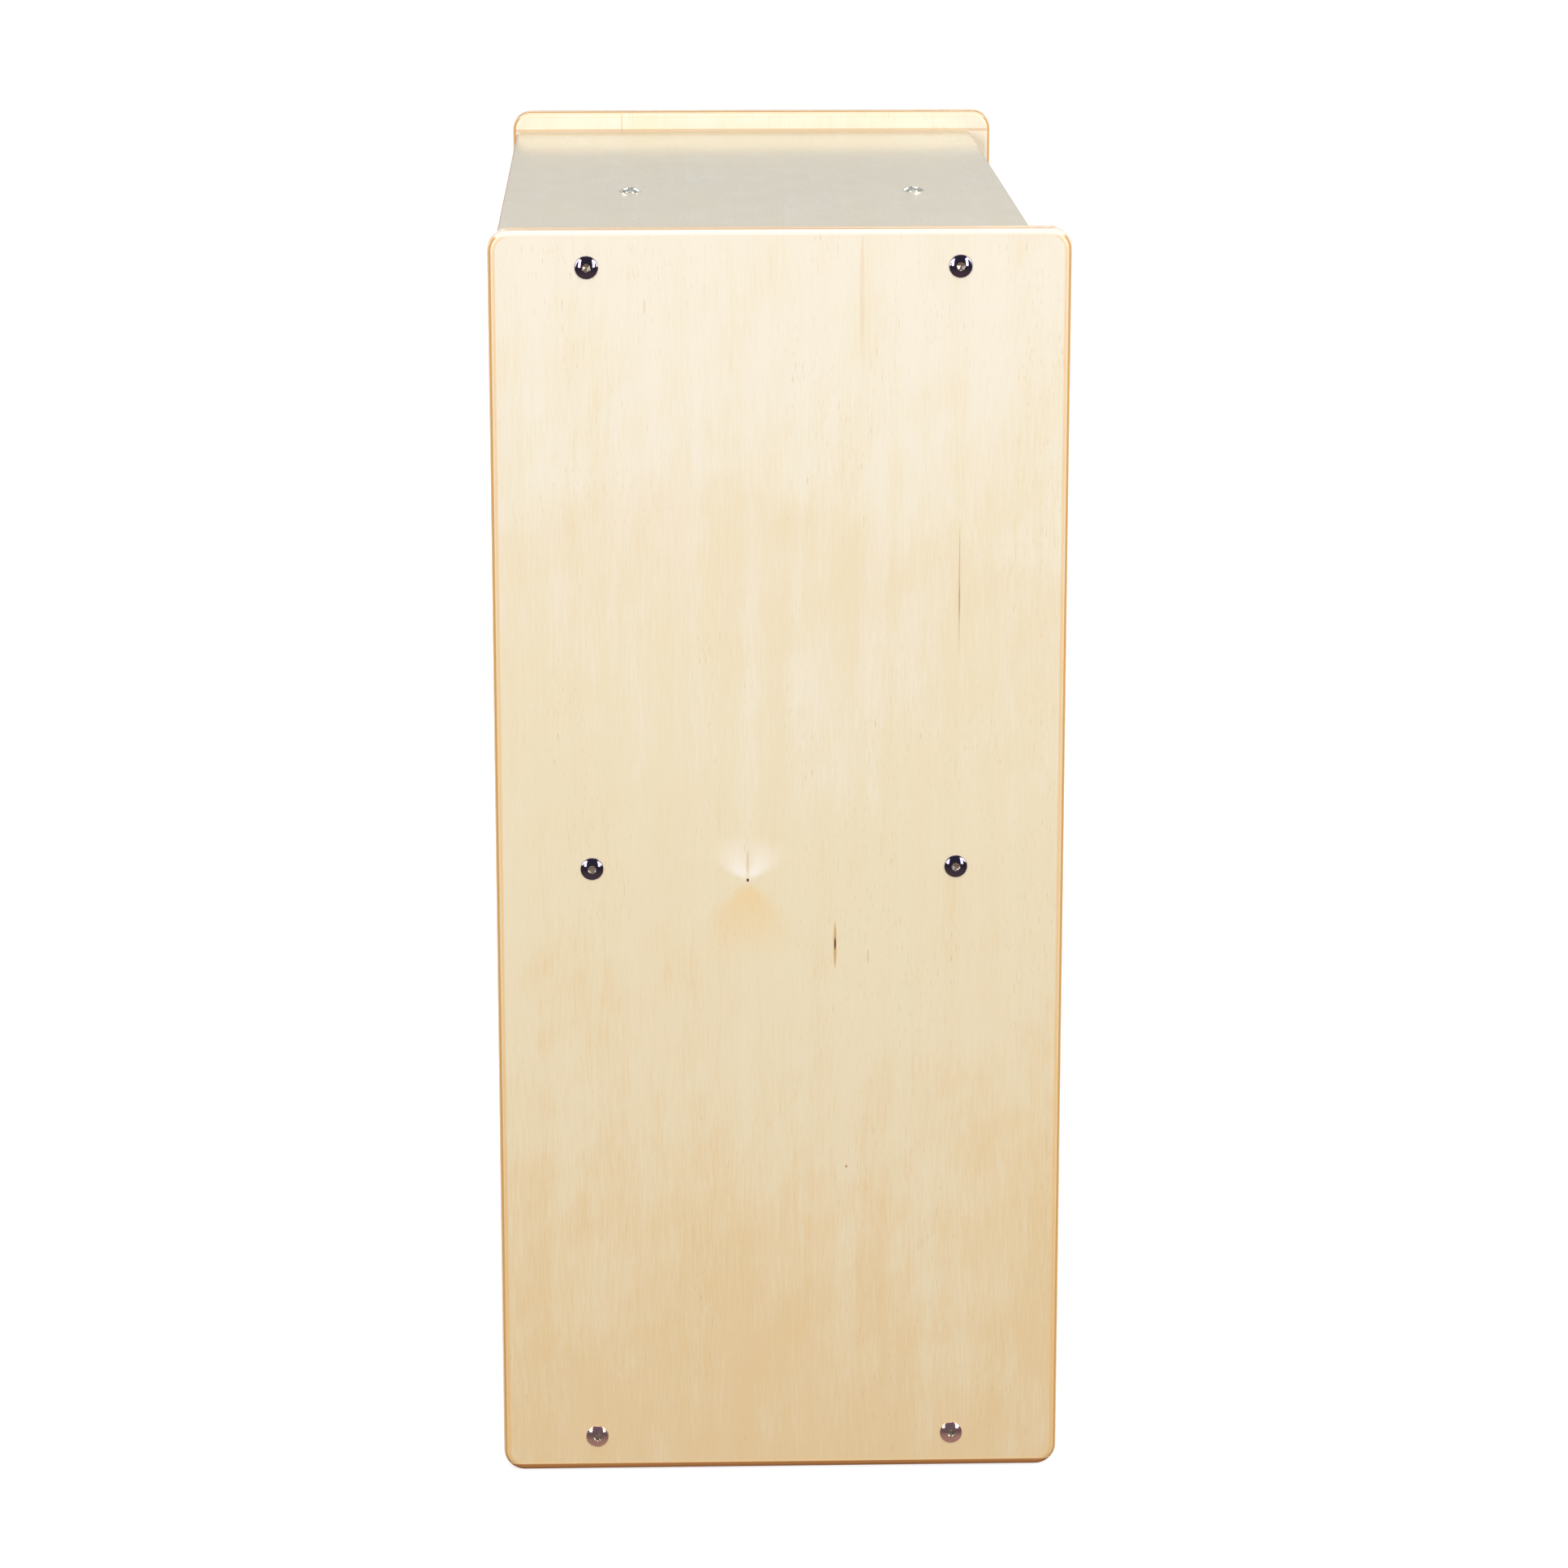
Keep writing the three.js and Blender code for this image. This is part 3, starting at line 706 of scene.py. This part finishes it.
def cross_board(piece_name, node, row, rear_rounding, material, groove=0):
    """A full-width board, with holes in its ends and over the partition. groove is 1 where the
    back panel's groove is in its upper face, -1 in its lower face and 0 where it has none."""
    low, high = box_of(node)
    under, above = low[Z] - OVERRUN, high[Z] + OVERRUN
    radii = [BOARD_ROUNDING, rear_rounding, rear_rounding, BOARD_ROUNDING]
    piece = new_object(piece_name, new_mesh(node, [plate(X, low, high, radii, ARRIS)]))
    holes, nut_holes = [], []
    for name, side in SIDES.items():
        end = (high if side > 0 else low)[X] + side * OVERRUN
        pin = box_of(f"{name}_{row}_dowel")
        pin_end = (pin[0] if side > 0 else pin[1])[X] - side * OVERRUN
        holes.append(drill(X, np.mean(pin, 0), end, pin_end, DOWEL_HOLE_RADIUS))
        for column in COLUMNS:
            bolt = box_of(f"{name}_{row}_{column}_bolt")
            tip = (bolt[0] if side > 0 else bolt[1])[X] - side * BLIND_HOLE_CLEARANCE
            holes.append(drill(X, np.mean(bolt, 0), end, tip, BOLT_HOLE_RADIUS))
            nut = box_of(f"{name}_{row}_{column}_nut")
            nut_holes.append(drill(Z, np.mean(nut, 0), under, nut[1][Z] + ARRIS, NUT_HOLE_RADIUS))
    over = [f"shelf_{column}_dowel" for column in COLUMNS]
    radius = DOWEL_HOLE_RADIUS
    if groove:
        level = "lower" if groove > 0 else "upper"
        over = [f"{level}_partition_{column}_bolt" for column in COLUMNS]
        radius = BOLT_HOLE_RADIUS
        back = np.mean(box_of("back_panel"), 0)[Y]
        face = (high if groove > 0 else low)[Z]
        bottom, top = sorted([face + groove * OVERRUN, face - groove * GROOVE_DEPTH])
        front, rear = back - GROOVE_WIDTH / 2, back + GROOVE_WIDTH / 2
        left, right = low[X] - OVERRUN, high[X] + OVERRUN
        holes.append(square_bar([left, front, bottom], [right, rear, top]))
    for fixing in over:
        holes.append(drill(Z, np.mean(box_of(fixing), 0), under, above, radius))
    cut(piece, holes)
    cut(piece, nut_holes)
    finish_piece(piece, node, material)


def partition(level, upwards, material):
    """An upright partition: bolt and dowel holes in its ends, nut holes in its right-hand face."""
    node = level + "_partition"
    low, high = box_of(node)
    outer, shelf = (high[Z], low[Z]) if upwards > 0 else (low[Z], high[Z])
    radii = [BOARD_ROUNDING, BOARD_ROUNDING, BUTTED_CORNER, BUTTED_CORNER]
    piece = new_object("upright_" + level, new_mesh(node, [plate(Z, low, high, radii, ARRIS)]))
    holes, nut_holes = [], []
    for column in COLUMNS:
        bolt = box_of(f"{node}_{column}_bolt")
        tip = (bolt[0] if upwards > 0 else bolt[1])[Z] - upwards * BLIND_HOLE_CLEARANCE
        start = outer + upwards * OVERRUN
        holes.append(drill(Z, np.mean(bolt, 0), start, tip, BOLT_HOLE_RADIUS))
        pin = box_of(f"shelf_{column}_dowel")
        pin_end = (pin[1] if upwards > 0 else pin[0])[Z] + upwards * OVERRUN
        start = shelf - upwards * OVERRUN
        holes.append(drill(Z, np.mean(pin, 0), start, pin_end, DOWEL_HOLE_RADIUS))
        nut = box_of(f"{node}_{column}_nut")
        mouth = high[X] + OVERRUN
        nut_holes.append(drill(X, np.mean(nut, 0), mouth, nut[0][X] - ARRIS, NUT_HOLE_RADIUS))
    cut(piece, holes)
    cut(piece, nut_holes)
    finish_piece(piece, node, material)


# ---- fasteners ----


def turned(points, outwards, about):
    """Points drawn about +Z, turned about it by an angle and then set with +Z along outwards."""
    sine, cosine = math.sin(about), math.cos(about)
    x = points[..., 0] * cosine - points[..., 1] * sine
    y = points[..., 0] * sine + points[..., 1] * cosine
    spun = np.stack([x, y, points[..., 2]], -1)
    turn = Vector((0, 0, 1)).rotation_difference(Vector(outwards)).to_matrix()
    return spun @ np.array(turn).T


def bolt(node, outwards, materials, number):
    """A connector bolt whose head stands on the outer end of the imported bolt's box."""
    low, high = box_of(node)
    axis = int(np.argmax(np.abs(outwards)))
    base = (low + high) / 2
    tip = (high if outwards[axis] > 0 else low)[axis]
    base[axis] = tip - outwards[axis] * HEAD_HEIGHT
    rings = turned(bolt_rings(), outwards, math.radians(number * BOLT_TURN)) + base
    piece = new_object(node.replace("_bolt", "_screw"), new_mesh(node, [rings]))
    finish_piece(piece, node, materials[0])
    piece.data.materials.append(materials[1])
    slots = np.zeros(len(piece.data.polygons), np.int32)
    slots[-2 - SOCKET_RINGS * ROUND_SIDES : -2] = 1
    slots[-1] = 1
    piece.data.polygons.foreach_set("material_index", slots)


def barrel_nut(node, axis, mouth, material):
    """A barrel nut along an axis, with a screwdriver slot in its mouth end, 1 or -1, and a hole
    across it for the bolt."""
    low, high = box_of(node)
    radius = (high - low)[(axis + 1) % 3] / 2
    centre = (low + high) / 2
    length = high[axis] - low[axis]
    share = NUT_CHAMFER / length
    radii = [radius - NUT_CHAMFER, radius, radius, radius - NUT_CHAMFER]
    body = round_bar(axis, centre, low[axis], high[axis], radii, [0, share, 1 - share, 1])
    piece = new_object(node.replace("_nut", "_barrel"), new_mesh(node, [body]))
    cross = Z if axis == X else X
    hole = drill(cross, centre, low[cross] - OVERRUN, high[cross] + OVERRUN, BOLT_HOLE_RADIUS)
    end = (high if mouth > 0 else low)[axis]
    slot_low, slot_high = centre.copy(), centre.copy()
    slot_low[axis], slot_high[axis] = sorted([end - mouth * NUT_SLOT_DEPTH, end + mouth * OVERRUN])
    slot_low[cross] -= NUT_SLOT_WIDTH / 2
    slot_high[cross] += NUT_SLOT_WIDTH / 2
    slot_low[Y] -= radius + OVERRUN
    slot_high[Y] += radius + OVERRUN
    cut(piece, [hole, square_bar(slot_low, slot_high)])
    finish_piece(piece, node, material)


# ---- the unit ----

# The outer face has a painted highlight along its head
OUTER_FACE = {"draw": outer_face_marks, "side": -1, "painted_highlight": 0.7, "ring": 0.55}
INNER_FACE = {"draw": inner_face_marks, "side": -1, "painted_highlight": 0.0, "ring": 0.15}
# The left panel is paler towards its top as painted light, and dimmed as painted shade
LEFT = {"painted_light_climb": 1.0, "marks": OUTER_FACE, "shade": 0.88}
RIGHT = {"marks": INNER_FACE, "shade": 0.92}
left_birch = birch_ply("birch_left_panel", "left_side_panel", X, Z, 11.3, 0.5, **LEFT)
right_birch = birch_ply("birch_right_panel", "right_side_panel", X, Z, 27.8, 0.08, **RIGHT)
# The top board is darkened as painted shade, since it faces the lamps
top_birch = birch_ply("birch_top_board", "top_board", Z, X, 41.1, 0.45, gloss=0.14, shade=0.82)
bottom_birch = birch_ply("birch_bottom_board", "bottom_board", Z, X, 53.6, 0.55)
shelf_birch = birch_ply("birch_middle_shelf", "middle_shelf", Z, X, 67.2, 0.45)
upper_birch = birch_ply("birch_upper_partition", "upper_partition", X, Z, 79.9, 0.5)
lower_birch = birch_ply("birch_lower_partition", "lower_partition", X, Z, 88.4, 0.45)
back_birch = birch_ply("birch_back_panel", "back_panel", Y, Z, 97.5, 0.42, gloss=0.42)

side_panel("left", -1, left_birch)
side_panel("right", 1, right_birch)
cross_board("board_top", "top_board", "top", BOARD_ROUNDING, top_birch, -1)
cross_board("board_bottom", "bottom_board", "bottom", BOARD_ROUNDING, bottom_birch, 1)
cross_board("shelf_middle", "middle_shelf", "middle", BUTTED_CORNER, shelf_birch)
partition("upper", 1, upper_birch)
partition("lower", -1, lower_birch)

nickel = (bright_nickel(), socket_nickel())
zinc = zinc_plate()
number = 0
for name, side in SIDES.items():
    for row in ROWS:
        for column in COLUMNS:
            bolt(f"{name}_{row}_{column}_bolt", (side, 0, 0), nickel, number)
            barrel_nut(f"{name}_{row}_{column}_nut", Z, -1, zinc)
            number += 1
for level, upwards in (("upper", 1), ("lower", -1)):
    for column in COLUMNS:
        bolt(f"{level}_partition_{column}_bolt", (0, 0, upwards), nickel, number)
        barrel_nut(f"{level}_partition_{column}_nut", X, 1, zinc)
        number += 1

dowel_beech = beech()
carried_over = {"back_panel": back_birch}
carried_over |= {node: dowel_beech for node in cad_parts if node.endswith("_dowel")}
for node, material in carried_over.items():
    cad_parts[node].data.materials.clear()
    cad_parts[node].data.materials.append(material)


# ---- floor, light and camera ----

CAMERA_PLACE = (-3.7164, 0.101, 1.3182)
CAMERA_YAW = -0.0312  # radians from +X towards +Y
CAMERA_PITCH = -0.2388
LENS = 111.9
SENSOR = 36
VIEW_DEPTH = 200

FLOOR_REACH = 40
FLOOR_POINTS = 9
FLOOR_DROP = 0.0002
FLOOR_GREY = (0.42, 0.42, 0.42)
FLOOR_GLOW_NEAR = (0.66, 0.66, 0.66)
FLOOR_GLOW_FAR = (0.97, 0.97, 0.97)
GLOW_RISE = (0.5, 3.5)  # metres from the unit

NEAR_WALL = (0.15, 0.14, 0.18)
FAR_WALL = (0.50, 0.52, 0.56)
STRAIGHT_DOWN = (0.36, 0.27, 0.25)
NEAR_SKIRTING = (0.15, 0.13, 0.15)
FAR_SKIRTING = (0.40, 0.36, 0.33)


def floor():
    """A plain pale floor that glows more away from the unit, where the lamps don't reach. It is a
    flat grid of points, and it neither lights the unit nor shows in its gloss."""
    material = bpy.data.materials.new("floor")
    place = add_node(empty_tree(material), "TexCoord", out=3)
    distance = place.node("VectorMath", {"operation": "LENGTH"}, {0: place}, 1)
    glow = distance.rise(*GLOW_RISE).tint(FLOOR_GLOW_NEAR, FLOOR_GLOW_FAR)
    surface = {"Base Color": (*FLOOR_GREY, 1), "Roughness": 0.9, "Emission Color": glow}
    plain = {"Emission Strength": 1.0, "Specular IOR Level": 0.0}
    finish_surface(material, surface, **plain)
    steps = np.linspace(-FLOOR_REACH, FLOOR_REACH, FLOOR_POINTS)
    x, y = np.meshgrid(steps, steps, indexing="ij")
    points = np.stack([x, y, np.full_like(x, -FLOOR_DROP)], -1).reshape(-1, 3)
    index = np.arange(FLOOR_POINTS**2).reshape(FLOOR_POINTS, FLOOR_POINTS)
    quads = np.stack([index[:-1, :-1], index[1:, :-1], index[1:, 1:], index[:-1, 1:]], -1)
    mesh = bpy.data.meshes.new("floor")
    mesh.from_pydata(points, [], quads.reshape(-1, 4).tolist())
    mesh.materials.append(material)
    made = new_object("floor", mesh)
    made.visible_diffuse = False
    made.visible_glossy = False


def softbox(name, place, target, size, power, mirrored=True):
    """A rectangular softbox at a place, facing a target. It shows in glossy faces where mirrored."""
    light = bpy.data.lights.new(name, "AREA")
    light.shape = "RECTANGLE"
    light.size, light.size_y = size
    light.energy = power
    lamp = new_object(name, light)
    lamp.location = place
    towards = Vector(target) - Vector(place)
    lamp.rotation_euler = towards.to_track_quat("-Z", "Y").to_euler()
    lamp.visible_camera = False
    lamp.visible_glossy = mirrored


def room():
    """Light from all round by direction: cool grey from the far side, +X, and dim from the near side.
    From below it is warmer, as light off a floor is."""
    world = bpy.data.worlds.new("room")
    bpy.context.scene.world = world
    direction = add_node(empty_tree(world), "TexCoord", out=0)
    x, z = (direction.node("SeparateXYZ", None, {0: direction}, k) for k in (X, Z))
    above = x.rise(-0.8, 0.5).tint(NEAR_WALL, FAR_WALL)
    below = z.rise(-0.75, -0.15).tint(STRAIGHT_DOWN, NEAR_SKIRTING)
    below = x.rise(-0.6, 0.6).tint(below, FAR_SKIRTING)
    colour = z.rise(-0.06, 0.0).tint(below, above)
    background = x.node("Background", None, {"Color": colour})
    x.node("OutputWorld", None, {"Surface": background})


def camera():
    """Over the left end, looking along the unit and down on its top."""
    data = bpy.data.cameras.new("camera")
    data.lens = LENS
    data.sensor_width = SENSOR
    data.clip_end = VIEW_DEPTH
    made = new_object("camera", data)
    made.location = CAMERA_PLACE
    level = math.cos(CAMERA_PITCH)
    towards = Vector(
        (level * math.cos(CAMERA_YAW), level * math.sin(CAMERA_YAW), math.sin(CAMERA_PITCH))
    )
    made.rotation_euler = towards.to_track_quat("-Z", "Y").to_euler()
    bpy.context.scene.camera = made


floor()
room()
softbox("softbox_left", (-3.4, 2.4, 1.8), (-0.3, 0, 0.6), (0.8, 2.6), 109)
softbox("softbox_right", (-3.4, -2.4, 1.8), (-0.3, 0, 0.6), (0.8, 2.6), 109)
softbox("softbox_top", (-1.2, 0, 3.2), (-0.2, 0, 0.8), (1.6, 1.6), 22)
softbox("softbox_front", (0.3, -3.6, 1.6), (0.1, 0, 0.4), (2.2, 1.6), 85, False)
softbox("softbox_back", (0.3, 3.6, 1.6), (0.1, 0, 0.4), (2.2, 1.6), 60, False)
softbox("softbox_right_end", (4.0, 0, 1.6), (0.4, 0, 0.4), (2.0, 1.6), 80, False)
softbox("softbox_rear_left", (3.6, 0.6, 2.7), (0, 0, 0.6), (0.4, 0.4), 12)
softbox("softbox_rear_right", (3.6, -0.6, 2.7), (0, 0, 0.6), (0.4, 0.4), 12)
camera()
bpy.context.scene.view_settings.view_transform = "Standard"
